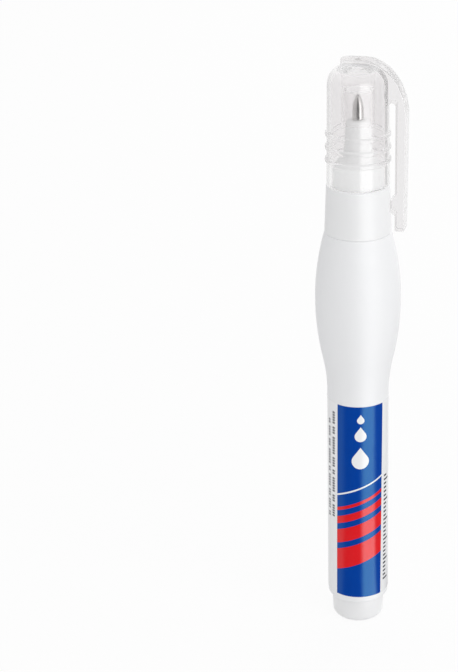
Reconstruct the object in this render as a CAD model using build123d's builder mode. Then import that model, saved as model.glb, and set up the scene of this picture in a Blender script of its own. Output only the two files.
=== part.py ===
from build123d import *
import math
import os

os.makedirs("parts", exist_ok=True)

# A squeeze correction pen standing on its end, writing tip up. The pen's axis is Z, the flat base is at
# zero, and the pocket clip points along +X. All sizes are in millimetres.

# Lengths along the axis, from the base up
tail_length = 5.8
straight_length = 49.6
bulge_rise = 22.0
bulge_fall = 15.2
collar_length = 10.4
nose_length = 13.9
tip_length = 4.95

# Clearances, and the overrun of every cut
joint_gap = 0.02
push_fit = 0.05
cap_fit = 0.05
running_fit = 0.03
overrun = 1.0

# Squeeze barrel
barrel_radius = 6.65
bulge_radius = 9.13
barrel_wall = 0.9
barrel_end_round = 0.5
swell_share = 0.38
mouth_wall = 1.0
snap_bead_round = 0.5
snap_bead_height = 0.25
snap_bead_rise = 2.8
seam_chamfer = 0.12

# End plug
plug_lip = 0.05
plug_draft = 0.25
plug_grip_length = 6.2
plug_wall = 1.0
plug_floor = 1.4
plug_round = 1.4

# Label film, wrapped round the straight stretch with its overlap seam away from the print
label_thickness = 0.08
label_low_margin = 1.4
label_high_margin = 0.6
label_print_angle = -74.0
label_wrap_angle = 354.0

# Fluid and the ball that stirs it
fluid_rise_share = 0.9
ball_diameter = 6.35

# Nose cone, with the neck that the cap pushes onto
neck_radius = 5.45
neck_length = 4.0
shoulder_rise = 2.5
nose_end_radius = 2.5
nose_draft = 0.5
nose_edge_round = 0.8
flange_step = 0.45
flange_thickness = 1.5
skirt_length = 3.7
skirt_wall = 0.95
core_rise = 1.8
valve_tube_wall = 0.9
valve_tube_drop = 1.0

# Front collar
collar_roof = 1.5
collar_foot_wall = 1.15
rim_step = 0.05
rim_round = 0.25

# Metal tip
tip_shoulder = 0.22
tip_lip = 0.08
tip_straight_share = 0.35
shank_wall = 0.45
shank_length = 4.8
orifice_radius = 0.28
orifice_length = 0.7
orifice_cone_length = 0.6

# Valve needle, its spring and the bush behind them
needle_radius = 0.42
needle_gap = 0.08
needle_out = 0.3
needle_head_radius = 1.25
needle_head_gap = 0.25
needle_head_thickness = 0.6
needle_head_drop = 1.3
needle_tail_out = 0.2
retainer_inset = 0.6
retainer_thickness = 1.6
retainer_hole_radius = 0.3
retainer_hole_count = 3
spring_wire = 0.25
spring_gap = 0.305
spring_coil_gap = 0.55

# Cap: shell, inner sealing sleeve, ribs and clip
cap_wall = 1.1
cap_draft = 0.22
crown_height = 4.0
dome_round = 4.05
hollow_corner_round = 0.45
cap_rim_round = 0.12
tip_room = 2.1
sleeve_lap = 0.9
sleeve_gap = 0.15
sleeve_wall = 0.7
sleeve_arch_rise = 1.2
rib_round = 0.7
rib_height = 0.35
rib_rises = (5.4, 8.1, 10.9)
clip_width = 4.0
clip_gap = 1.5
clip_thickness = 2.2
clip_taper = 0.25
clip_overhang = 9.5
clip_end_round = 0.4
clip_edge_round = 0.15
strap_height = 1.25
strap_reach = 3.6
strap_end_share = 0.47
crest_reach = 1.3
arch_height = 12.0
web_depth = 7.25
bump_rise = 4.3
bump_length = 2.4
bump_slope_length = 0.8
bump_gap = 0.15

# Levels worked out from the lengths
waist_z = tail_length + straight_length
bulge_z = waist_z + bulge_rise
seam_z = bulge_z + bulge_fall
rim_z = seam_z + collar_length
nose_z = rim_z + nose_length
tip_z = nose_z + tip_length
collar_top_z = rim_z - cap_fit
flange_top_z = collar_top_z - collar_roof - joint_gap
flange_z = flange_top_z - flange_thickness
mouth_z = flange_z - joint_gap

# Radii worked out from the fits
bore_radius = barrel_radius - barrel_wall
flange_radius = neck_radius + flange_step
mouth_radius = flange_radius - mouth_wall
skirt_radius = mouth_radius - push_fit
skirt_bore_radius = skirt_radius - skirt_wall
collar_bore_radius = flange_radius + push_fit
cap_bore_radius = neck_radius + cap_fit
cap_radius = cap_bore_radius + cap_wall
rim_radius = cap_radius + rim_step
seam_radius = flange_radius + collar_foot_wall
nose_base_radius = nose_end_radius + nose_draft
chamber_radius = needle_head_radius + needle_head_gap
valve_tube_radius = chamber_radius + valve_tube_wall
tip_bore_radius = needle_radius + needle_gap
shank_radius = tip_bore_radius + shank_wall
tip_base_radius = shank_radius + tip_shoulder
tip_end_radius = orifice_radius + tip_lip
spring_radius = needle_radius + spring_gap + spring_wire / 2


def barrel_outline(inset, foot_z, seam_drop):
    """Lines from the foot of the straight stretch up over the bulge to the seam, drawn in by inset."""
    straight = barrel_radius - inset
    widest = bulge_radius - inset
    turn_radius = straight + swell_share * (widest - straight)
    turn_z = waist_z + swell_share * bulge_rise
    Line((straight, foot_z), (straight, waist_z))
    TangentArc((straight, waist_z), (turn_radius, turn_z), tangent=(0, 1))
    TangentArc((widest, bulge_z), (turn_radius, turn_z), tangent=(0, -1))
    TangentArc((widest, bulge_z), (seam_radius - inset, seam_z - seam_drop), tangent=(0, 1))


# Squeeze barrel: soft bottle, open at the tail, with a snap bead on its mouth
snap_bead_z = seam_z + snap_bead_rise
with BuildPart() as squeeze_barrel:
    with BuildSketch(Plane.XZ):
        with BuildLine():
            barrel_outline(0, tail_length, 0)
            Polyline(
                (seam_radius, seam_z),
                (flange_radius, seam_z),
                (flange_radius, mouth_z),
                (0, mouth_z),
                (0, tail_length),
                (barrel_radius, tail_length),
            )
        make_face()
    revolve(axis=Axis.Z)
    with BuildSketch(Plane.XZ):
        with Locations((flange_radius + snap_bead_height - snap_bead_round, snap_bead_z)):
            Circle(snap_bead_round)
    revolve(axis=Axis.Z)
    with BuildSketch(Plane.XZ):
        with BuildLine():
            barrel_outline(barrel_wall, tail_length - overrun, barrel_wall)
            Polyline(
                (seam_radius - barrel_wall, seam_z - barrel_wall),
                (mouth_radius, seam_z - barrel_wall),
                (mouth_radius, mouth_z + overrun),
                (0, mouth_z + overrun),
                (0, tail_length - overrun),
                (bore_radius, tail_length - overrun),
            )
        make_face()
    revolve(axis=Axis.Z, mode=Mode.SUBTRACT)
    round_edges = squeeze_barrel.edges().filter_by(GeomType.CIRCLE)
    tail_edge = round_edges.group_by(Axis.Z)[0].sort_by(SortBy.RADIUS)[-1]
    fillet(tail_edge, radius=min(barrel_end_round, barrel_wall / 2))
    round_edges = squeeze_barrel.edges().filter_by(GeomType.CIRCLE)
    seam_edge = round_edges.filter_by_position(Axis.Z, seam_z, seam_z).sort_by(SortBy.RADIUS)[-1]
    chamfer(seam_edge, length=seam_chamfer)
squeeze_barrel.part.label = "squeeze_barrel"
export_step(squeeze_barrel.part, "parts/squeeze_barrel.step")

# End plug: cup pushed into the tail, with a lip under the barrel's edge and a flat base
plug_radius = bore_radius + plug_lip
plug_grip_radius = bore_radius - push_fit
plug_top_z = tail_length + plug_grip_length
cup_radius = plug_grip_radius - plug_wall
plug_seat_z = tail_length - joint_gap
with BuildPart() as end_plug:
    with BuildSketch(Plane.XZ):
        with BuildLine():
            Polyline(
                (0, 0),
                (plug_radius - plug_draft, 0),
                (plug_radius, plug_seat_z),
                (plug_grip_radius, plug_seat_z),
                (plug_grip_radius, plug_top_z),
                (cup_radius, plug_top_z),
                (cup_radius, plug_floor),
                (0, plug_floor),
                close=True,
            )
        make_face()
    revolve(axis=Axis.Z)
    base_edge = end_plug.edges().filter_by(GeomType.CIRCLE).group_by(Axis.Z)[0]
    fillet(base_edge, radius=plug_round)
    lead_in_edge = end_plug.edges().filter_by(GeomType.CIRCLE).group_by(Axis.Z)[-1]
    fillet(lead_in_edge, radius=plug_wall / 3)
end_plug.part.label = "end_plug"
export_step(end_plug.part, "parts/end_plug.step")

# Label: thin printed film, wrapped almost all the way round
label_z = tail_length + label_low_margin
label_length = straight_length - label_low_margin - label_high_margin
label_radius = barrel_radius + label_thickness
label_start = math.radians(label_print_angle - label_wrap_angle / 2)
label_plane = Plane(
    (0, 0, 0),
    x_dir=(math.cos(label_start), math.sin(label_start), 0),
    z_dir=(math.sin(label_start), -math.cos(label_start), 0),
)
with BuildPart() as label_sleeve:
    with BuildSketch(label_plane):
        with Locations((barrel_radius, label_z)):
            Rectangle(label_thickness, label_length, align=(Align.MIN, Align.MIN))
    revolve(axis=Axis.Z, revolution_arc=label_wrap_angle)
label_sleeve.part.label = "label_sleeve"
export_step(label_sleeve.part, "parts/label_sleeve.step")

# Mixing ball: steel ball lying on the plug's floor
ball_radius = ball_diameter / 2
ball_z = plug_floor + push_fit + ball_radius
with BuildPart() as mixing_ball:
    with Locations((0, 0, ball_z)):
        Sphere(ball_radius)
mixing_ball.part.label = "mixing_ball"
export_step(mixing_ball.part, "parts/mixing_ball.step")

# Correction fluid: fills the plug and the barrel up into the bulge, round the ball
fluid_z = waist_z + fluid_rise_share * bulge_rise
with BuildPart() as correction_fluid:
    with BuildSketch(Plane.XZ):
        with BuildLine():
            barrel_outline(barrel_wall + push_fit, plug_top_z + push_fit, barrel_wall + push_fit)
            Polyline(
                (seam_radius - barrel_wall - push_fit, seam_z - barrel_wall - push_fit),
                (0, seam_z - barrel_wall - push_fit),
                (0, plug_floor + push_fit),
                (cup_radius - push_fit, plug_floor + push_fit),
                (cup_radius - push_fit, plug_top_z + push_fit),
                (bore_radius - push_fit, plug_top_z + push_fit),
            )
        make_face()
    revolve(axis=Axis.Z)
    split(bisect_by=Plane.XY.offset(fluid_z), keep=Keep.BOTTOM)
    with Locations((0, 0, ball_z)):
        Sphere(ball_radius + push_fit, mode=Mode.SUBTRACT)
correction_fluid.part.label = "correction_fluid"
export_step(correction_fluid.part, "parts/correction_fluid.step")

# Front collar: ring that snaps over the barrel's mouth and clamps the nose cone's flange
with BuildPart() as front_collar:
    with BuildSketch(Plane.XZ):
        with BuildLine():
            Polyline(
                (collar_bore_radius, seam_z + joint_gap),
                (seam_radius, seam_z + joint_gap),
                (rim_radius, collar_top_z),
                (neck_radius + push_fit, collar_top_z),
                (neck_radius + push_fit, collar_top_z - collar_roof),
                (collar_bore_radius, collar_top_z - collar_roof),
                close=True,
            )
        make_face()
    revolve(axis=Axis.Z)
    with BuildSketch(Plane.XZ):
        with Locations((flange_radius + snap_bead_height - snap_bead_round, snap_bead_z)):
            Circle(snap_bead_round + push_fit)
    revolve(axis=Axis.Z, mode=Mode.SUBTRACT)
    collar_edges = front_collar.edges().filter_by(GeomType.CIRCLE)
    rim_edge = collar_edges.group_by(Axis.Z)[-1].sort_by(SortBy.RADIUS)[-1]
    fillet(rim_edge, radius=rim_round)
    collar_edges = front_collar.edges().filter_by(GeomType.CIRCLE)
    foot_edge = collar_edges.group_by(Axis.Z)[0].sort_by(SortBy.RADIUS)[-1]
    chamfer(foot_edge, length=seam_chamfer)
front_collar.part.label = "front_collar"
export_step(front_collar.part, "parts/front_collar.step")

# Nose cone: skirt in the barrel's mouth, flange, neck, shoulder and the nose that holds the tip
skirt_z = flange_z - skirt_length
shoulder_z = rim_z + neck_length
cone_z = shoulder_z + shoulder_rise
core_z = rim_z + core_rise
valve_tube_z = rim_z - valve_tube_drop
shank_z = nose_z - shank_length
chamber_z = shank_z - running_fit
shank_bore_radius = shank_radius + joint_gap
with BuildPart() as nose_cone:
    with BuildSketch(Plane.XZ):
        with BuildLine():
            Polyline(
                (0, skirt_z),
                (skirt_radius, skirt_z),
                (skirt_radius, flange_z),
                (flange_radius, flange_z),
                (flange_radius, flange_top_z),
                (neck_radius, flange_top_z),
                (neck_radius, shoulder_z),
                (nose_base_radius, cone_z),
                (nose_end_radius, nose_z),
                (0, nose_z),
                close=True,
            )
        make_face()
    revolve(axis=Axis.Z)
    nose_edge = nose_cone.edges().filter_by(GeomType.CIRCLE).group_by(Axis.Z)[-1]
    fillet(nose_edge, radius=nose_edge_round)
    shoulder_edges = nose_cone.edges().filter_by(GeomType.CIRCLE)
    fillet(shoulder_edges.filter_by_position(Axis.Z, shoulder_z, cone_z), radius=shoulder_rise / 3)
    with BuildSketch(Plane.XZ):
        with BuildLine():
            Polyline(
                (0, skirt_z - overrun),
                (skirt_bore_radius, skirt_z - overrun),
                (skirt_bore_radius, core_z),
                (valve_tube_radius, core_z),
                (valve_tube_radius, valve_tube_z),
                (chamber_radius, valve_tube_z),
                (chamber_radius, chamber_z),
                (shank_bore_radius, chamber_z),
                (shank_bore_radius, nose_z + overrun),
                (0, nose_z + overrun),
                close=True,
            )
        make_face()
    revolve(axis=Axis.Z, mode=Mode.SUBTRACT)
nose_cone.part.label = "nose_cone"
export_step(nose_cone.part, "parts/nose_cone.step")

# Metal tip: turned bullet on a shank pressed into the nose, bored for the needle
tip_straight_z = nose_z + tip_straight_share * tip_length
orifice_z = tip_z - orifice_length
orifice_cone_z = orifice_z - orifice_cone_length
tip_seat_z = nose_z + joint_gap
with BuildPart() as metal_tip:
    with BuildSketch(Plane.XZ):
        with BuildLine():
            TangentArc((tip_base_radius, tip_straight_z), (tip_end_radius, tip_z), tangent=(0, 1))
            Polyline(
                (tip_end_radius, tip_z),
                (orifice_radius, tip_z),
                (orifice_radius, orifice_z),
                (tip_bore_radius, orifice_cone_z),
                (tip_bore_radius, shank_z),
                (shank_radius, shank_z),
                (shank_radius, tip_seat_z),
                (tip_base_radius, tip_seat_z),
                (tip_base_radius, tip_straight_z),
            )
        make_face()
    revolve(axis=Axis.Z)
metal_tip.part.label = "metal_tip"
export_step(metal_tip.part, "parts/metal_tip.step")

# Spring retainer: bush pressed into the valve tube, with a guide hole and flow holes
retainer_z = valve_tube_z + retainer_inset
retainer_top_z = retainer_z + retainer_thickness
retainer_radius = chamber_radius - joint_gap
guide_radius = needle_radius + running_fit
with BuildPart() as spring_retainer:
    with BuildSketch(Plane.XY.offset(retainer_z)):
        Circle(retainer_radius)
        Circle(guide_radius, mode=Mode.SUBTRACT)
        with PolarLocations((retainer_radius + guide_radius) / 2, retainer_hole_count):
            Circle(retainer_hole_radius, mode=Mode.SUBTRACT)
    extrude(amount=retainer_thickness)
spring_retainer.part.label = "spring_retainer"
export_step(spring_retainer.part, "parts/spring_retainer.step")

# Valve needle: pin that closes the orifice, with a head that the spring pushes on and a guided tail
pin_radius = orifice_radius - running_fit
needle_end_z = tip_z + needle_out
head_z = chamber_z - needle_head_drop
tail_z = retainer_z - needle_tail_out
with BuildPart() as valve_needle:
    with BuildSketch(Plane.XZ):
        with BuildLine():
            Polyline(
                (0, tail_z),
                (needle_radius, tail_z),
                (needle_radius, head_z),
                (needle_head_radius, head_z),
                (needle_head_radius, head_z + needle_head_thickness),
                (needle_radius, head_z + needle_head_thickness),
                (needle_radius, orifice_cone_z - running_fit),
                (pin_radius, orifice_z - running_fit),
                (pin_radius, needle_end_z),
                (0, needle_end_z),
                close=True,
            )
        make_face()
    revolve(axis=Axis.Z)
    pin_edge = valve_needle.edges().filter_by(GeomType.CIRCLE).group_by(Axis.Z)[-1]
    fillet(pin_edge, radius=pin_radius * 2 / 3)
valve_needle.part.label = "valve_needle"
export_step(valve_needle.part, "parts/valve_needle.step")

# Valve spring: one wire wound from the bush up to the needle's head, in quarter turns of two arcs each
spring_low_z = retainer_top_z + spring_wire / 2 + joint_gap
spring_high_z = head_z - spring_wire / 2 - joint_gap
spring_height = spring_high_z - spring_low_z
spring_turns = max(1, math.floor(spring_height / (spring_wire + spring_coil_gap)))
spring_rise = spring_height / (math.tau * spring_turns)
quarter_count = 4 * spring_turns


def wire_point(angle):
    """Point on the wire's centre line, by the angle wound so far."""
    x = spring_radius * math.cos(angle)
    y = spring_radius * math.sin(angle)
    return Vector(x, y, spring_low_z + spring_rise * angle)


def wire_direction(angle):
    """Unit direction of the wire at that angle."""
    x = -spring_radius * math.sin(angle)
    y = spring_radius * math.cos(angle)
    return Vector(x, y, spring_rise).normalized()


with BuildLine() as wire_path:
    for quarter in range(quarter_count):
        start_angle = quarter * math.pi / 2
        end_angle = start_angle + math.pi / 2
        start, end = wire_point(start_angle), wire_point(end_angle)
        start_way, end_way = wire_direction(start_angle), wire_direction(end_angle)
        chord = end - start
        bend = 2 * (1 - start_way.dot(end_way))
        along = chord.dot(start_way + end_way)
        reach = (math.sqrt(along * along + bend * chord.dot(chord)) - along) / bend
        middle = (start + end + (start_way - end_way) * reach) / 2
        TangentArc(start, middle, tangent=start_way)
        TangentArc(middle, end, tangent=chord - (start_way + end_way) * reach)
with BuildPart() as valve_spring:
    with BuildSketch(Plane(wire_point(0), z_dir=wire_direction(0))):
        Circle(spring_wire / 2)
    sweep(path=wire_path.wires()[0])
valve_spring.part.label = "valve_spring"
export_step(valve_spring.part, "parts/valve_spring.step")

samples_per_turn = 48
wire_points = [
    wire_point(math.tau * step / samples_per_turn)
    for step in range(spring_turns * samples_per_turn + 1)
]
closest = min(
    (wire_points[first] - wire_points[second]).length
    for first in range(len(wire_points))
    for second in range(first + samples_per_turn // 2, len(wire_points))
)
print("valve spring: turns", spring_turns, "least gap to itself", round(closest - spring_wire, 3))


# Heights inside and on top of the cap
needle_room_z = needle_end_z + tip_room
dome_z = needle_room_z + crown_height
hollow_z = dome_z - dome_round


def cap_radius_at(z):
    """Outside radius of the cap's drafted wall at a height."""
    return cap_radius - cap_draft * (z - rim_z) / (hollow_z - rim_z)


def collar_radius_at(z):
    """Outside radius of the collar's taper at a height."""
    return seam_radius + (rim_radius - seam_radius) * (z - seam_z) / (collar_top_z - seam_z)


# Clip: strap on the dome that arches over into a springy arm with a bump at its end
strap_z = dome_z + strap_height
clip_inner = cap_radius + clip_gap
clip_outer = clip_inner + clip_thickness
clip_end_z = rim_z - clip_overhang
arch_z = strap_z - arch_height
gap_z = dome_z - web_depth - clip_gap / 2
bump_low_z = clip_end_z + bump_rise
bump_high_z = bump_low_z + bump_length
bump_radius = collar_radius_at(bump_low_z - bump_slope_length) + bump_gap
with BuildPart() as pocket_clip:
    with BuildSketch(Plane.XZ):
        with BuildLine():
            Line((-strap_reach, strap_z), (crest_reach, strap_z))
            EllipticalCenterArc(
                (crest_reach, arch_z),
                x_radius=clip_outer - crest_reach,
                y_radius=arch_height,
                start_angle=0,
                arc_size=90,
            )
            Polyline(
                (clip_outer, arch_z),
                (clip_outer - clip_taper, clip_end_z),
                (clip_inner, clip_end_z),
                (clip_inner, bump_low_z - bump_slope_length),
                (bump_radius, bump_low_z),
                (bump_radius, bump_high_z),
                (clip_inner, bump_high_z + bump_slope_length),
                (clip_inner, gap_z),
            )
            ThreePointArc(
                (clip_inner, gap_z),
                (clip_inner - clip_gap / 2, gap_z + clip_gap / 2),
                (cap_radius, gap_z),
            )
            Polyline((cap_radius, gap_z), (-strap_reach, gap_z), (-strap_reach, strap_z))
        make_face()
    extrude(amount=clip_width / 2, both=True)
    strap_end = pocket_clip.edges().filter_by(Axis.Z).group_by(Axis.X)[0]
    fillet(strap_end, radius=strap_end_share * clip_width)
    arm_end = pocket_clip.edges().filter_by(Axis.X).group_by(Axis.Z)[0]
    fillet(arm_end, radius=clip_end_round)
    side_faces = pocket_clip.faces().filter_by(Axis.Y)
    side_edges = side_faces.sort_by(Axis.Y)[0].edges() + side_faces.sort_by(Axis.Y)[-1].edges()
    strap_seams = side_edges.filter_by(Axis.Z).group_by(Axis.X)[0]
    arm_seams = side_edges.filter_by(Axis.X).group_by(Axis.Z)[0]
    fillet(side_edges - strap_seams - arm_seams, radius=clip_edge_round)

# Cap: clear shell with ribs and clip, hollowed round its own sealing sleeve
sleeve_mouth_z = nose_z - sleeve_lap
sleeve_mouth_share = sleeve_lap / (nose_z - cone_z)
sleeve_bore_radius = nose_end_radius + sleeve_mouth_share * (nose_base_radius - nose_end_radius) + sleeve_gap
sleeve_radius = sleeve_bore_radius + sleeve_wall
sleeve_arch_z = needle_room_z - sleeve_arch_rise
cap_top_radius = cap_radius_at(hollow_z)
dome_centre = cap_top_radius - dome_round
hollow_round = cap_bore_radius - dome_centre
hollow_top_z = hollow_z + math.sqrt(hollow_round**2 - (sleeve_radius - dome_centre) ** 2)
with BuildPart() as cap:
    with BuildSketch(Plane.XZ):
        with BuildLine():
            Polyline(
                (dome_centre, dome_z),
                (0, dome_z),
                (0, rim_z),
                (cap_radius, rim_z),
                (cap_top_radius, hollow_z),
            )
            TangentArc((cap_top_radius, hollow_z), (dome_centre, dome_z), tangent=(0, 1))
        make_face()
    revolve(axis=Axis.Z)
    with BuildSketch(Plane.XZ):
        for rib_rise in rib_rises:
            rib_z = rim_z + rib_rise
            with Locations((cap_radius_at(rib_z) + rib_height - rib_round, rib_z)):
                Circle(rib_round)
    revolve(axis=Axis.Z)
    add(pocket_clip.part)
    with BuildSketch(Plane.XZ) as hollow:
        with BuildLine():
            Polyline(
                (sleeve_radius, hollow_top_z),
                (sleeve_radius, sleeve_mouth_z),
                (sleeve_bore_radius, sleeve_mouth_z),
                (sleeve_bore_radius, sleeve_arch_z),
            )
            TangentArc((0, needle_room_z), (sleeve_bore_radius, sleeve_arch_z), tangent=(1, 0))
            Polyline(
                (0, needle_room_z),
                (0, rim_z - overrun),
                (cap_bore_radius, rim_z - overrun),
                (cap_bore_radius, hollow_z),
            )
            TangentArc((cap_bore_radius, hollow_z), (sleeve_radius, hollow_top_z), tangent=(0, 1))
        make_face()
        fillet(hollow.vertices().sort_by(Axis.Y)[-1], radius=hollow_corner_round)
    revolve(axis=Axis.Z, mode=Mode.SUBTRACT)
    rim_edges = cap.edges().filter_by(GeomType.CIRCLE)
    fillet(rim_edges.filter_by_position(Axis.Z, rim_z, rim_z), radius=cap_rim_round)
cap.part.label = "cap"
export_step(cap.part, "parts/cap.step")

ball_travel = valve_tube_z - push_fit - ball_diameter - plug_floor - push_fit
print("base to clip top", round(strap_z, 3), "ball can rise", round(ball_travel, 3))
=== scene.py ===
import math

import bmesh
import bpy
from mathutils import Matrix, Quaternion, Vector


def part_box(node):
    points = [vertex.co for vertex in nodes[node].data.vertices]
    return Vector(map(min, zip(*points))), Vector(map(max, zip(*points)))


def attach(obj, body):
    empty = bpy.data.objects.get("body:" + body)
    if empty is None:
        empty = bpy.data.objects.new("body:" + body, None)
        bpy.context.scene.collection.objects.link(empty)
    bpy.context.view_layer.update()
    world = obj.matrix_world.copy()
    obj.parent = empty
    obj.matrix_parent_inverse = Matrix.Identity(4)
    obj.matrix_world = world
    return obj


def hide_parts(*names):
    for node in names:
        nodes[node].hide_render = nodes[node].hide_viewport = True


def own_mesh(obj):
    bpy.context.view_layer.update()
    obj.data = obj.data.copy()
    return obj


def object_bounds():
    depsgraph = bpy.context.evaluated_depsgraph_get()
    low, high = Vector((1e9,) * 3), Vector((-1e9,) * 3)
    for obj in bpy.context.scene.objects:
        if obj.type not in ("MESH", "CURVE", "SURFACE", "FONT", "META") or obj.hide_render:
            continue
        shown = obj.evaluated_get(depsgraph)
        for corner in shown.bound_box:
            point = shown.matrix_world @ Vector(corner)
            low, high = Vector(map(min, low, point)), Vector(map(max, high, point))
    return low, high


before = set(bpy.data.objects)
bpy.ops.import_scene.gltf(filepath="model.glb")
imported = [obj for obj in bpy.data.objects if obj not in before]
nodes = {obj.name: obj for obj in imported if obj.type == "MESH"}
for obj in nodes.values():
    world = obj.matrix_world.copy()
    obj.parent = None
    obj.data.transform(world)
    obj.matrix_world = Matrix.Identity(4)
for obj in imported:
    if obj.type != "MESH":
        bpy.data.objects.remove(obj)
cad_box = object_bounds()


# Squeeze barrel: soft bottle of white polyethylene, blow moulded between two halves.
# Its skin is satin, with a very fine grain from the mould and a hairline where the halves met.
mm = 0.001
plastic_cloud = 9 * mm
parting_rise = 2


def start_material(name):
    """New material with its node tree, and the shader that the other nodes feed."""
    material = bpy.data.materials.new(name)
    material.use_nodes = True
    return material, material.node_tree, material.node_tree.nodes["Principled BSDF"]


def add_node(tree, kind, **settings):
    """Node of that kind. A name that is an input sets the input, and any other sets the node."""
    node = tree.nodes.new("ShaderNode" + kind)
    for key, value in settings.items():
        label = key.replace("_", " ").title()
        if label in node.inputs:
            node.inputs[label].default_value = value
        else:
            setattr(node, key, value)
    return node


def calculate(tree, operation, *values):
    """Math node's output. Each value is a number or another node's output."""
    node = add_node(tree, "Math", operation=operation)
    for socket, value in zip(node.inputs, values):
        if isinstance(value, (int, float)):
            socket.default_value = value
        else:
            tree.links.new(value, socket)
    return node.outputs[0]


def surface_place(tree):
    """Place on the piece, in metres."""
    return add_node(tree, "TexCoord").outputs["Object"]


def along_axis(tree, place, axis):
    """How far the place lies along X, Y or Z."""
    split = add_node(tree, "SeparateXYZ")
    tree.links.new(place, split.inputs[0])
    return split.outputs[axis]


def noise(tree, place, size, detail=3.0):
    """Cloudy pattern, from 0 to 1, with blotches of about that size."""
    node = add_node(tree, "TexNoise", scale=1 / size, detail=detail)
    tree.links.new(place, node.inputs["Vector"])
    return node.outputs[0]


def spread(tree, value, low, high, from_low=0.3, from_high=0.7):
    """Low where the value is at most from_low, high where it is at least from_high, smooth between."""
    node = add_node(tree, "MapRange", interpolation_type="SMOOTHSTEP")
    for label, number in (
        ("From Min", from_low), ("From Max", from_high), ("To Min", low), ("To Max", high),
    ):
        node.inputs[label].default_value = number
    tree.links.new(value, node.inputs["Value"])
    return node.outputs[0]


def two_tone(tree, share, first, second):
    """Colour that runs from the first to the second as the share goes from 0 to 1."""
    node = add_node(tree, "Mix", data_type="RGBA")
    node.inputs[6].default_value = (*first, 1)
    node.inputs[7].default_value = (*second, 1)
    tree.links.new(share, node.inputs[0])
    return node.outputs[2]


def raise_surface(tree, shader, height, depth, strength):
    """Bump that lifts the surface by up to depth where the height is 1."""
    bump = add_node(tree, "Bump", strength=strength, distance=depth)
    tree.links.new(height, bump.inputs["Height"])
    tree.links.new(bump.outputs[0], shader.inputs["Normal"])


def moulded_white(name, white, shade, gloss, grain_size, grain_depth, parting_line):
    """Satin moulded plastic: clouded white, fine grain, uneven gloss and the mould's parting line."""
    material, tree, shader = start_material(name)
    place = surface_place(tree)
    cloud = noise(tree, place, plastic_cloud)
    grain = noise(tree, place, grain_size)
    tree.links.new(two_tone(tree, cloud, white, shade), shader.inputs["Base Color"])
    tree.links.new(spread(tree, grain, *gloss), shader.inputs["Roughness"])
    from_parting = calculate(tree, "ABSOLUTE", along_axis(tree, place, "Y"))
    line = spread(tree, from_parting, low=1, high=0, from_low=0, from_high=parting_line)
    height = calculate(tree, "MULTIPLY_ADD", line, parting_rise, grain)
    raise_surface(tree, shader, height, grain_depth, strength=0.35)
    return material


def dress(name, material):
    """The node's faces take the material in place of the plain one."""
    nodes[name].material_slots[0].material = material


dress("squeeze_barrel", moulded_white(
    "barrel_polyethylene", white=(0.915, 0.92, 0.93), shade=(0.88, 0.886, 0.9), gloss=(0.42, 0.54),
    grain_size=0.22 * mm, grain_depth=0.012 * mm, parting_line=0.06 * mm,
))


# End plug: white polypropylene cup pressed into the open end of the bottle, which the pen stands on.
# It is injection moulded, so the middle of its base has the small ring where the plastic went in.
gate_radius, gate_width, gate_rise = 1.1 * mm, 0.3 * mm, 6
base_low, base_high = 0.1 * mm, 0.3 * mm


def from_axis(tree, place):
    """Distance from the pen's axis."""
    x, y = along_axis(tree, place, "X"), along_axis(tree, place, "Y")
    squares = calculate(tree, "MULTIPLY_ADD", x, x, calculate(tree, "MULTIPLY", y, y))
    return calculate(tree, "SQRT", squares)


def end_plug_plastic():
    """The plug's satin white, with a gate mark in the middle of the base."""
    material = moulded_white(
        "plug_polypropylene", white=(0.905, 0.908, 0.912), shade=(0.87, 0.874, 0.88), gloss=(0.32, 0.44),
        grain_size=0.18 * mm, grain_depth=0.012 * mm, parting_line=0.05 * mm,
    )
    tree = material.node_tree
    place = surface_place(tree)
    off_ring = calculate(tree, "ABSOLUTE", calculate(tree, "SUBTRACT", from_axis(tree, place), gate_radius))
    ring = spread(tree, off_ring, low=1, high=0, from_low=0, from_high=gate_width)
    base = spread(tree, along_axis(tree, place, "Z"), low=1, high=0, from_low=base_low, from_high=base_high)
    bump = tree.nodes["Principled BSDF"].inputs["Normal"].links[0].from_node
    grain = bump.inputs["Height"].links[0].from_socket
    height = calculate(tree, "MULTIPLY_ADD", calculate(tree, "MULTIPLY", ring, base), gate_rise, grain)
    tree.links.new(height, bump.inputs["Height"])
    return material


dress("end_plug", end_plug_plastic())


# Label: glossy polypropylene film, printed and wrapped round the straight stretch of the bottle.
# The print is layers of ink a few hundredths of a millimetre thick, on the white of the film.
label_low, label_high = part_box("label_sleeve")
label_radius = label_high.x
label_foot = label_low.z
label_length = label_high.z - label_low.z
print_angle, print_skew = math.radians(-74.5), math.radians(3.6)
ink_lift, ink_layer = 0.006 * mm, 0.016 * mm
slice_width = 0.22 * mm


def film_gloss(name, colour, shade, roughness):
    """Printed film: one ink colour, faintly clouded, with the film's gloss and slight ripple."""
    material, tree, shader = start_material(name)
    place = surface_place(tree)
    cloud = noise(tree, place, size=2.5 * mm)
    tree.links.new(two_tone(tree, cloud, colour, shade), shader.inputs["Base Color"])
    gloss = spread(tree, noise(tree, place, size=0.6 * mm), roughness, roughness + 0.05)
    tree.links.new(gloss, shader.inputs["Roughness"])
    ripple = noise(tree, place, size=3.5 * mm, detail=1.0)
    raise_surface(tree, shader, ripple, depth=0.01 * mm, strength=0.3)
    return material


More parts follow.
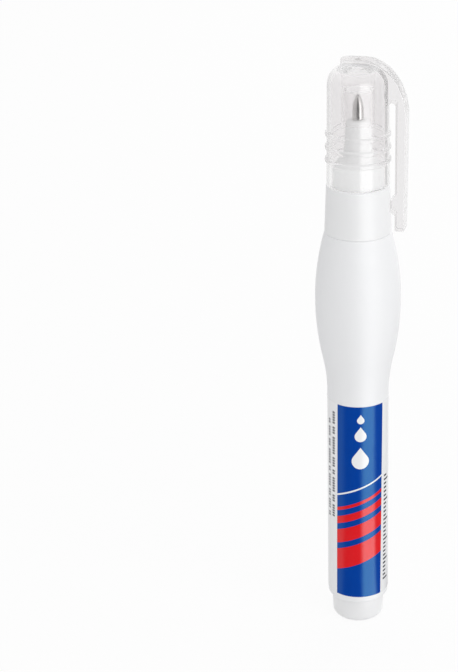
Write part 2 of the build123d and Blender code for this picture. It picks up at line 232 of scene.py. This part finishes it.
def ink_patch(name, outlines, layer, material):
    """Patches of ink on the label. Each outline runs along the arc and up from the label's foot."""
    mesh = bmesh.new()
    for outline in outlines:
        mesh.faces.new([mesh.verts.new((along, up, 0)) for along, up in outline])
    left = min(vert.co.x for vert in mesh.verts)
    right = max(vert.co.x for vert in mesh.verts)
    for cut in range(1, math.ceil((right - left) / slice_width)):
        geometry = mesh.verts[:] + mesh.edges[:] + mesh.faces[:]
        bmesh.ops.bisect_plane(
            mesh, geom=geometry, plane_co=(left + cut * slice_width, 0, 0), plane_no=(1, 0, 0)
        )
    grown = bmesh.ops.extrude_face_region(mesh, geom=mesh.faces[:])
    raised = [item for item in grown["geom"] if isinstance(item, bmesh.types.BMVert)]
    bmesh.ops.translate(mesh, verts=raised, vec=(0, 0, ink_layer))
    for vert in mesh.verts:
        angle = print_angle + print_skew * (vert.co.y / label_length - 0.5) + vert.co.x / label_radius
        out = label_radius + ink_lift + layer * ink_layer + vert.co.z
        vert.co = (out * math.cos(angle), out * math.sin(angle), label_foot + vert.co.y)
    bmesh.ops.recalc_face_normals(mesh, faces=mesh.faces[:])
    data = bpy.data.meshes.new(name)
    mesh.to_mesh(data)
    mesh.free()
    piece = bpy.data.objects.new(name, data)
    bpy.context.scene.collection.objects.link(piece)
    data.materials.append(material)
    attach(piece, "barrel")


def bar(left, right, low, high, slope=0.0):
    """Four corners of a bar, which climbs by the slope on its way from left to right."""
    climb = slope * (right - left)
    return [(left, low), (right, low + climb), (right, high + climb), (left, high)]


def drop(centre_up, round_radius, tall, steps=28):
    """Outline of a drop: a round foot that runs up to a point."""
    shut = math.asin(round_radius / tall)
    turn = [shut + step * (-math.pi - 2 * shut) / steps for step in range(steps + 1)]
    foot = [(round_radius * math.cos(a), centre_up + round_radius * math.sin(a)) for a in turn]
    return [(0, centre_up + tall), *foot]


film_white = film_gloss("film_white", (0.92, 0.925, 0.935), (0.895, 0.9, 0.912), roughness=0.16)
ink_blue = film_gloss("ink_blue", (0.001, 0.054, 0.375), (0.001, 0.048, 0.345), roughness=0.13)
ink_red = film_gloss("ink_red", (0.82, 0.012, 0.018), (0.78, 0.01, 0.016), roughness=0.13)
ink_white = film_gloss("ink_white", (0.92, 0.925, 0.935), (0.9, 0.905, 0.915), roughness=0.13)
ink_grey = film_gloss("ink_grey", (0.09, 0.095, 0.11), (0.075, 0.08, 0.095), roughness=0.15)
ink_blue.node_tree.nodes["Principled BSDF"].inputs["Specular Tint"].default_value = (0.35, 1, 0.97, 1)
dress("label_sleeve", film_white)

# The blue panel and what is printed on it. Bars and drops are given in millimetres up the label.
panel_edge = math.radians(46) * label_radius
panel_margin = 0.2 * mm
bar_slope = 0.42
red_bars = ((6.5, 5.2), (13.2, 3.4), (18.1, 1.8), (21.4, 0.8))
line_low, line_high = 25.2 * mm, 25.6 * mm
drops = ((34.4, 1.9), (40.4, 1.3), (44.2, 0.8))
drop_tall_share = 1.75
panel = bar(-panel_edge, panel_edge, panel_margin, label_length - panel_margin)
ink_patch("label_panel", [panel], layer=0, material=ink_blue)
for number, (low, thick) in enumerate(red_bars):
    slanting = bar(-panel_edge, panel_edge, low * mm, (low + thick) * mm, bar_slope)
    ink_patch(f"label_red_bar_{number + 1}", [slanting], layer=1, material=ink_red)
white_line = bar(-panel_edge, panel_edge, line_low, line_high, bar_slope)
ink_patch("label_white_line", [white_line], layer=1, material=ink_white)
for number, (up, size) in enumerate(drops):
    outline = drop(up * mm, size * mm, drop_tall_share * size * mm)
    ink_patch(f"label_drop_{number + 1}", [outline], layer=1, material=ink_white)

# Two lines of fine marks left of the panel, and a tick scale right of it. A line has its inset from the
# panel, its width and its foot in millimetres, and how many marks stand in each of its groups.
mark_pitch, mark_length = 0.62 * mm, 0.4 * mm
fine_lines = (
    (0.85, 0.75, 19.4, (5, 3, 6, 2, 4, 7, 3, 5)),
    (2.55, 0.7, 19.0, (2, 4, 3, 5, 2, 6, 3, 4, 2)),
)
for number, (inset, width, foot, groups) in enumerate(fine_lines):
    right = -panel_edge - inset * mm
    left = right - width * mm
    up = foot * mm
    marks = []
    for count in groups:
        lows = [up + mark * mark_pitch for mark in range(count)]
        marks += [bar(left, right, low, low + mark_length) for low in lows]
        up += (count + 1) * mark_pitch
    ink_patch(f"label_fine_line_{number + 1}", marks, layer=0, material=ink_grey)
tick_count, ticks_per_long = 27, 5
tick_foot, tick_pitch, tick_width, tick_gap = 3.1 * mm, 1 * mm, 0.42 * mm, 0.9 * mm
tick_reach, long_tick_reach = 1.1 * mm, 1.9 * mm
left = panel_edge + tick_gap
ticks = []
for tick in range(tick_count):
    up = tick_foot + tick * tick_pitch
    reach = tick_reach if tick % ticks_per_long else long_tick_reach
    ticks.append(bar(left, left + reach, up, up + tick_width))
ink_patch("label_ticks", ticks, layer=0, material=ink_grey)


# Mixing ball: loose ball of hardened steel, ground round, which stirs the fluid when the pen is shaken.
# It has stood in the fluid, so thin white smears cling to it.
def fluid_smeared_steel(steel=(0.56, 0.57, 0.58), smeared=(0.86, 0.86, 0.85)):
    """Ground steel with thin white smears."""
    material, tree, shader = start_material("ground_steel")
    cloud = noise(tree, surface_place(tree), size=1.6 * mm, detail=6.0)
    smear = spread(tree, cloud, low=0, high=1, from_low=0.52, from_high=0.62)
    tree.links.new(two_tone(tree, smear, steel, smeared), shader.inputs["Base Color"])
    tree.links.new(calculate(tree, "SUBTRACT", 1, smear), shader.inputs["Metallic"])
    gloss = spread(tree, smear, low=0.22, high=0.5, from_low=0, from_high=1)
    tree.links.new(gloss, shader.inputs["Roughness"])
    raise_surface(tree, shader, smear, depth=0.03 * mm, strength=0.5)
    return material


dress("mixing_ball", fluid_smeared_steel())


# Correction fluid: thick white pigment in a quick-drying solvent, filled through the tail of the bottle.
# Left to stand, it clears to a thin layer of solvent at the top.
fluid_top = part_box("correction_fluid")[1].z
clear_from, clear_to, swirl_depth = fluid_top - 2.2 * mm, fluid_top + 0.3 * mm, 1.5 * mm


def settled_fluid(white=(0.9, 0.9, 0.885), cleared=(0.74, 0.72, 0.63)):
    """White liquid with a yellowish clearer layer just under its surface."""
    material, tree, shader = start_material("settled_fluid")
    place = surface_place(tree)
    up = along_axis(tree, place, "Z")
    swirl = calculate(tree, "MULTIPLY_ADD", noise(tree, place, size=4 * mm), swirl_depth, up)
    clear = spread(tree, swirl, low=0, high=1, from_low=clear_from, from_high=clear_to)
    tree.links.new(two_tone(tree, clear, white, cleared), shader.inputs["Base Color"])
    gloss = spread(tree, noise(tree, place, size=2 * mm), low=0.08, high=0.16)
    tree.links.new(gloss, shader.inputs["Roughness"])
    ripple = noise(tree, place, size=5 * mm, detail=2.0)
    raise_surface(tree, shader, ripple, depth=0.05 * mm, strength=0.3)
    return material


dress("correction_fluid", settled_fluid())


# Front collar: ring of white polypropylene that snaps over the mouth of the bottle and clamps the nose.
# It is moulded with a finer grain than the bottle, so it is a little glossier.
dress("front_collar", moulded_white(
    "collar_polypropylene", white=(0.915, 0.918, 0.924), shade=(0.885, 0.889, 0.896), gloss=(0.36, 0.46),
    grain_size=0.15 * mm, grain_depth=0.008 * mm, parting_line=0.05 * mm,
))


# Nose cone: white polypropylene moulding with the neck that the cap pushes onto, clamped by the collar.
# Its top edge is rounded where it meets the metal tip.
dress("nose_cone", moulded_white(
    "nose_polypropylene", white=(0.945, 0.95, 0.95), shade=(0.92, 0.926, 0.927), gloss=(0.22, 0.32),
    grain_size=0.15 * mm, grain_depth=0.008 * mm, parting_line=0.04 * mm,
))


# Metal tip: nickel silver bullet, turned on a lathe and polished, pressed into the nose by its shank.
# The tool has left fine rings round it.
def turned_metal(name, colour, shade, roughness, ring_pitch, ring_depth):
    """Turned metal: fine rings round the axis, and slightly uneven colour and polish."""
    material, tree, shader = start_material(name)
    place = surface_place(tree)
    up = along_axis(tree, place, "Z")
    wobble = calculate(tree, "MULTIPLY_ADD", noise(tree, place, size=0.8 * mm), ring_pitch, up)
    ring = calculate(tree, "SINE", calculate(tree, "MULTIPLY", wobble, math.tau / ring_pitch))
    height = calculate(tree, "MULTIPLY_ADD", ring, 0.5, 0.5)
    cloud = noise(tree, place, size=0.9 * mm)
    tree.links.new(two_tone(tree, cloud, colour, shade), shader.inputs["Base Color"])
    gloss = spread(tree, height, roughness, roughness + 0.06, from_low=0, from_high=1)
    tree.links.new(gloss, shader.inputs["Roughness"])
    shader.inputs["Metallic"].default_value = 1
    raise_surface(tree, shader, height, ring_depth, strength=0.25)
    return material


dress("metal_tip", turned_metal(
    "turned_nickel_silver", colour=(0.7, 0.695, 0.685), shade=(0.65, 0.645, 0.635), roughness=0.07,
    ring_pitch=0.09 * mm, ring_depth=0.001 * mm,
))


# Spring retainer: small bush of natural acetal pressed into the valve tube from below.
# It has a guide hole for the needle and three holes for the fluid.
dress("spring_retainer", moulded_white(
    "natural_acetal", white=(0.8, 0.79, 0.75), shade=(0.76, 0.75, 0.71), gloss=(0.3, 0.42),
    grain_size=0.1 * mm, grain_depth=0.006 * mm, parting_line=0.02 * mm,
))


# Valve needle: stainless steel pin, ground to a blunt point that shuts the tip from inside.
# Grinding has left rings much finer than those on the tip.
dress("valve_needle", turned_metal(
    "ground_stainless", colour=(0.6, 0.6, 0.61), shade=(0.55, 0.55, 0.56), roughness=0.2,
    ring_pitch=0.04 * mm, ring_depth=0.001 * mm,
))


# Valve spring: drawn stainless wire wound to a light coil between the bush and the needle's head.
# Drawing has left the wire bright, with faint stains from the coiling oil. On the pen it shortens when the
# needle is pushed in, but the coil here is built at one length.
spring_low, spring_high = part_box("valve_spring")
spring_turns, steps_per_turn, wire_sides = 7, 32, 12
wire_radius = 0.125 * mm
coil_radius = spring_high.x - wire_radius
coil_height = spring_high.z - spring_low.z - 2 * wire_radius
coil_slope = math.atan(coil_height / (math.tau * spring_turns * coil_radius))


def drawn_wire(bright=(0.6, 0.6, 0.6), stained=(0.48, 0.47, 0.45)):
    """Bright drawn wire with faint darker stains."""
    material, tree, shader = start_material("drawn_stainless")
    place = surface_place(tree)
    stain = noise(tree, place, size=0.5 * mm, detail=5.0)
    tree.links.new(two_tone(tree, stain, bright, stained), shader.inputs["Base Color"])
    tree.links.new(spread(tree, stain, low=0.18, high=0.34), shader.inputs["Roughness"])
    shader.inputs["Metallic"].default_value = 1
    grain = noise(tree, place, size=0.05 * mm)
    raise_surface(tree, shader, grain, depth=0.002 * mm, strength=0.3)
    return material


wire = bmesh.new()
bmesh.ops.create_circle(wire, segments=wire_sides, radius=wire_radius)
wire_tilt = Matrix.Rotation(math.pi / 2 + coil_slope, 3, "X")
bmesh.ops.rotate(wire, verts=wire.verts[:], cent=(0, 0, 0), matrix=wire_tilt)
bmesh.ops.translate(wire, verts=wire.verts[:], vec=(coil_radius, 0, spring_low.z + wire_radius))
bmesh.ops.spin(
    wire, geom=wire.verts[:] + wire.edges[:], axis=(0, 0, 1), cent=(0, 0, 0),
    dvec=(0, 0, coil_height / (spring_turns * steps_per_turn)),
    steps=spring_turns * steps_per_turn, angle=math.tau * spring_turns,
)
bmesh.ops.holes_fill(wire, edges=[edge for edge in wire.edges if edge.is_boundary])
bmesh.ops.recalc_face_normals(wire, faces=wire.faces[:])
for face in wire.faces:
    face.smooth = len(face.verts) == 4
coil_mesh = bpy.data.meshes.new("valve_spring_coil")
wire.to_mesh(coil_mesh)
wire.free()
coil_mesh.materials.append(drawn_wire())
valve_coil = bpy.data.objects.new("valve_spring_coil", coil_mesh)
bpy.context.scene.collection.objects.link(valve_coil)
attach(valve_coil, "barrel")
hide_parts("valve_spring")
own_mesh(valve_coil)


# Cap: one clear polystyrene moulding with three grip ribs, a pocket clip and a sleeve that seals the tip.
# It pushes onto the neck. Its walls are polished, with a slight ripple where the plastic flowed.
sleeve_reach, wall_reach, clip_reach = 3.6 * mm, 6.9 * mm, 7.6 * mm
neck_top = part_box("front_collar")[1].z + 4 * mm
shade_top = neck_top + 2 * mm
cap_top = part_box("cap")[1].z
strap_low, strap_high = cap_top - 0.9 * mm, cap_top - 0.5 * mm
wall_shade = 0.7
light_bounces = 200


def clear_polystyrene(thin=(0.99, 0.985, 0.986), thick=(0.84, 0.825, 0.829)):
    """Clear plastic that bends light, with rippled walls and a trace of haze.

    It is painted faintly grey in the walls above the neck, in the clip and in the strap on the dome. This
    is partly the grey of thick plastic and partly painted shade for the darker room the clear plastic would
    show. The walls round the neck are left clear, so the neck behind them stays bright.
    """
    material, tree, shader = start_material("clear_polystyrene")
    place = surface_place(tree)
    out = from_axis(tree, place)
    up = along_axis(tree, place, "Z")
    # Painted shade in the grey share: strongest in the thick walls, the clip and the strap, and faded out
    # round the neck.
    wall = spread(tree, out, low=0, high=wall_shade, from_low=sleeve_reach, from_high=wall_reach)
    above_neck = spread(tree, up, low=0, high=1, from_low=neck_top, from_high=shade_top)
    wall = calculate(tree, "MULTIPLY", wall, above_neck)
    clip = spread(tree, out, low=0, high=wall_shade, from_low=wall_reach, from_high=clip_reach)
    strap = spread(tree, up, low=0, high=1, from_low=strap_low, from_high=strap_high)
    share = calculate(tree, "MAXIMUM", calculate(tree, "MAXIMUM", clip, strap), wall)
    tree.links.new(two_tone(tree, share, thin, thick), shader.inputs["Base Color"])
    shader.inputs["Transmission Weight"].default_value = 1
    shader.inputs["IOR"].default_value = 1.5
    haze = spread(tree, noise(tree, place, size=1.2 * mm), low=0.08, high=0.11)
    tree.links.new(haze, shader.inputs["Roughness"])
    ripple = noise(tree, place, size=4 * mm, detail=1.0)
    raise_surface(tree, shader, ripple, depth=0.02 * mm, strength=0.15)
    return material


dress("cap", clear_polystyrene())

# Clear plastic lets the light through to the nose and the floor, and takes many bounces of it.
nodes["cap"].visible_shadow = nodes["cap"].visible_diffuse = False
bpy.context.scene.cycles.max_bounces = light_bounces
bpy.context.scene.cycles.glossy_bounces = light_bounces
bpy.context.scene.cycles.transmission_bounces = light_bounces


# Floor and background: plain white sheet that the pen stands on, lit evenly from all round.
# The sheet keeps the pen's soft shadow.
camera_azimuth = math.radians(12)
camera_right = Vector((math.cos(camera_azimuth), math.sin(camera_azimuth), 0))
fill_light, fill_slope = 0.77, 0.06
room_through_plastic, paper_through_plastic = 0.7, 0.15
paper_glow = 0.9
floor_reach, floor_parts = 3.0, 4


def seen_directly(tree, through_plastic):
    """1 for what the camera sees, also in gloss, a share through clear plastic, 0 for other light."""
    path = add_node(tree, "LightPath").outputs
    seen = calculate(tree, "MAXIMUM", path["Is Camera Ray"], path["Is Glossy Ray"])
    through = calculate(tree, "MULTIPLY", path["Is Transmission Ray"], through_plastic)
    return calculate(tree, "MAXIMUM", seen, through)


world = bpy.data.worlds.new("white_room")
bpy.context.scene.world = world
world.use_nodes = True
sky = world.node_tree
room = sky.nodes["Background"]
room.inputs["Color"].default_value = (1, 1, 1, 1)
towards_right = add_node(sky, "VectorMath", operation="DOT_PRODUCT")
towards_right.inputs[1].default_value = camera_right
sky.links.new(add_node(sky, "TexCoord").outputs["Generated"], towards_right.inputs[0])
fill = calculate(sky, "MULTIPLY_ADD", towards_right.outputs["Value"], fill_slope, fill_light)
whiter = calculate(sky, "SUBTRACT", 1, fill)
seen_room = seen_directly(sky, room_through_plastic)
sky.links.new(calculate(sky, "MULTIPLY_ADD", seen_room, whiter, fill), room.inputs["Strength"])


def stage_piece(name, mesh, material):
    """Object of the studio, which is no part of the pen."""
    data = bpy.data.meshes.new(name)
    mesh.to_mesh(data)
    mesh.free()
    piece = bpy.data.objects.new(name, data)
    bpy.context.scene.collection.objects.link(piece)
    data.materials.append(material)
    return piece


def white_paper(white=(0.93, 0.93, 0.93), shade=(0.91, 0.91, 0.91)):
    """Matt white paper that glows a little where it is seen, so that it reads as white."""
    material, tree, shader = start_material("white_paper")
    fibre = noise(tree, surface_place(tree), size=0.4 * mm)
    tree.links.new(two_tone(tree, fibre, white, shade), shader.inputs["Base Color"])
    shader.inputs["Roughness"].default_value = 0.9
    shader.inputs["Specular IOR Level"].default_value = 0
    glow = add_node(tree, "Emission")
    blend = add_node(tree, "MixShader")
    seen = seen_directly(tree, paper_through_plastic)
    tree.links.new(calculate(tree, "MULTIPLY", seen, paper_glow), blend.inputs[0])
    tree.links.new(shader.outputs[0], blend.inputs[1])
    tree.links.new(glow.outputs[0], blend.inputs[2])
    tree.links.new(blend.outputs[0], tree.nodes["Material Output"].inputs["Surface"])
    return material


sheet = bmesh.new()
bmesh.ops.create_grid(sheet, x_segments=floor_parts, y_segments=floor_parts, size=floor_reach)
bmesh.ops.translate(sheet, verts=sheet.verts[:], vec=(0, 0, cad_box[0].z))
stage_piece("floor", sheet, white_paper())


# Reflecting boards: bent boards round the front of the pen and behind it, out of the picture.
# Those in front draw the long highlights on the label and the cap and the bands on the metal tip.
# The one behind draws the edges of the cap's clear walls, light on the left and dark on the right.
camera_angle = camera_azimuth - math.pi / 2
board_steps = 96
board_near, board_middle, board_far, board_height, board_lift = 0.012, 0.2, 0.45, 0.4, 0.0003
tip_board_far, back_board_far, back_board_height = 0.19, 0.16, 0.12

# How often light has passed a surface of the cap, at least and at most, before it shows each board.
bare_crossings, wall_crossings, tip_crossings = (0, 0), (2, 2), (8, 64)

# Brightness of each board by its angle in degrees.
label_tones = (
    (-150, 0.65), (-62, 0.65), (-42, 0.04), (6, 0.04), (24, 3.6), (54, 3.4), (70, 0.1), (120, 0.1),
    (150, 0.6),
)
cap_tones = (
    (-150, 0.65), (-62, 0.65), (-42, 0.04), (0, 0.04), (16, 3.9), (46, 3.7), (62, 0.1), (115, 0.1),
    (132, 1.1), (150, 1.1),
)
tip_tones = (
    (-150, 1), (-83, 0.85), (-45, 0.75), (-22, 0.35), (-4, 0.05), (12, 0.05), (26, 0.6), (38, 2.6),
    (60, 2.2), (80, 1), (100, 0.6), (150, 0.7),
)
wall_tones = ((-60, 0.95), (-38, 0.95), (-30, 0.86), (36, 0.86), (43, 0.5), (54, 0.5), (60, 0.55))


def in_direction(tree, x, y, direction):
    """How far a place at x and y lies in a level direction."""
    return calculate(tree, "MULTIPLY_ADD", y, direction.y, calculate(tree, "MULTIPLY", x, direction.x))


def tone_ramp(tree, angle, tones, brightest):
    """Share of the brightest tone at an angle in radians."""
    first, last = tones[0][0], tones[-1][0]
    along = add_node(tree, "MapRange")
    along.inputs["From Min"].default_value = math.radians(first)
    along.inputs["From Max"].default_value = math.radians(last)
    tree.links.new(angle, along.inputs["Value"])
    ramp = add_node(tree, "ValToRGB")
    ramp.color_ramp.interpolation = "EASE"
    stops = ramp.color_ramp.elements
    for degrees, tone in tones:
        spot = (degrees - first) / (last - first)
        stop = stops[0] if degrees == first else stops[-1] if degrees == last else stops.new(spot)
        share = tone / brightest
        stop.color = (share, share, share, 1)
    tree.links.new(along.outputs[0], ramp.inputs[0])
    return ramp.outputs[0]


def board_glow(name, tones, behind, crossings):
    """Light from a board by the angle right of the camera, or right of straight behind the pen.

    It shows in gloss alone, to light that has made so many crossings.
    """
    material = bpy.data.materials.new(name)
    material.use_nodes = True
    tree = material.node_tree
    place = surface_place(tree)
    x, y = along_axis(tree, place, "X"), along_axis(tree, place, "Y")
    ahead = Vector((camera_right.y, -camera_right.x, 0))
    towards = in_direction(tree, x, y, -ahead if behind else ahead)
    angle = calculate(tree, "ARCTAN2", in_direction(tree, x, y, camera_right), towards)
    brightest = max(tone for degrees, tone in tones)
    glow = add_node(tree, "Emission", strength=brightest)
    tree.links.new(tone_ramp(tree, angle, tones, brightest), glow.inputs["Color"])
    path = add_node(tree, "LightPath").outputs
    least, most = crossings
    enough = calculate(tree, "GREATER_THAN", path["Transmission Depth"], least - 0.5)
    few = calculate(tree, "LESS_THAN", path["Transmission Depth"], most + 0.5)
    mirrored = calculate(tree, "COMPARE", path["Glossy Depth"], 1, 0.5)
    shows = calculate(tree, "MULTIPLY", calculate(tree, "MULTIPLY", enough, few), mirrored)
    shows = calculate(tree, "SUBTRACT", shows, path["Diffuse Depth"])
    blend = add_node(tree, "MixShader")
    tree.links.new(shows, blend.inputs[0])
    tree.links.new(add_node(tree, "BsdfTransparent").outputs[0], blend.inputs[1])
    tree.links.new(glow.outputs[0], blend.inputs[2])
    tree.links.new(blend.outputs[0], tree.nodes["Material Output"].inputs["Surface"])
    return material


label_outline = ((board_near, board_lift), (board_middle, board_lift))
cap_outline = ((board_middle, board_lift), (board_far, board_lift), (board_far, board_height))
tip_outline = ((tip_board_far, board_lift), (tip_board_far, board_height))
back_outline = ((back_board_far, board_lift), (back_board_far, back_board_height))
for name, tones, behind, crossings, outline in (
    ("label_board", label_tones, False, bare_crossings, label_outline),
    ("cap_board", cap_tones, False, bare_crossings, cap_outline),
    ("tip_board", tip_tones, False, tip_crossings, tip_outline),
    ("back_board", wall_tones, True, wall_crossings, back_outline),
):
    first, last = math.radians(tones[0][0]), math.radians(tones[-1][0])
    start = camera_angle + (math.pi - last if behind else first)
    board = bmesh.new()
    swept = [board.verts.new((out * math.cos(start), out * math.sin(start), up)) for out, up in outline]
    swept += [board.edges.new(pair) for pair in zip(swept, swept[1:])]
    bmesh.ops.spin(
        board, geom=swept, axis=(0, 0, 1), cent=(0, 0, 0), steps=board_steps, angle=last - first
    )
    piece = stage_piece(name, board, board_glow(name + "_glow", tones, behind, crossings))
    piece.visible_camera = piece.visible_diffuse = piece.visible_shadow = False


# Lamps: a large soft box on the right, in front of the pen and above it, and a weaker one behind it.
# The first shades the side that faces the camera, and the second gives the back its shape.
lamp_distance, lamp_size = 0.7, 0.5
lamps = (("front_box", 45, 38, 1.0), ("back_box", 160, 30, 0.5))
for name, right_of_camera, climb, watts in lamps:
    lamp_angle = camera_angle + math.radians(right_of_camera)
    lamp_climb = math.radians(climb)
    lamp_place = Vector((
        math.cos(lamp_angle) * math.cos(lamp_climb),
        math.sin(lamp_angle) * math.cos(lamp_climb),
        math.sin(lamp_climb),
    ))
    soft_box = bpy.data.lights.new(name, "AREA")
    soft_box.shape = "SQUARE"
    soft_box.size = lamp_size
    soft_box.energy = watts
    lamp = bpy.data.objects.new(name, soft_box)
    bpy.context.scene.collection.objects.link(lamp)
    lamp.location = lamp_place * lamp_distance
    lamp.rotation_mode = "QUATERNION"
    lamp.rotation_quaternion = lamp_place.to_track_quat("Z", "Y")
    lamp.visible_camera = lamp.visible_glossy = lamp.visible_transmission = False


# Camera: long lens a little above the pen, turned 12 degrees towards the side of its clip.
# It looks past the pen's left, so that the pen stands right of the middle of the picture.
image_width, image_height = 458, 672
pen_column = 358
camera_climb = math.radians(23.5)
camera_distance = 0.402
aim = Vector((0, 0, 0.0684))
lens = bpy.data.cameras.new("camera")
lens.lens = 100
lens.sensor_width = 36
focal_pixels = lens.lens / lens.sensor_width * image_height
camera = bpy.data.objects.new("camera", lens)
bpy.context.scene.collection.objects.link(camera)
back = Vector((
    math.sin(camera_azimuth) * math.cos(camera_climb),
    -math.cos(camera_azimuth) * math.cos(camera_climb),
    math.sin(camera_climb),
))
aside = Quaternion((0, 1, 0), math.atan((pen_column - image_width / 2) / focal_pixels))
camera.location = aim + back * camera_distance
camera.rotation_mode = "QUATERNION"
camera.rotation_quaternion = (-back).to_track_quat("-Z", "Y") @ aside
bpy.context.scene.camera = camera
bpy.context.scene.view_settings.view_transform = "Standard"
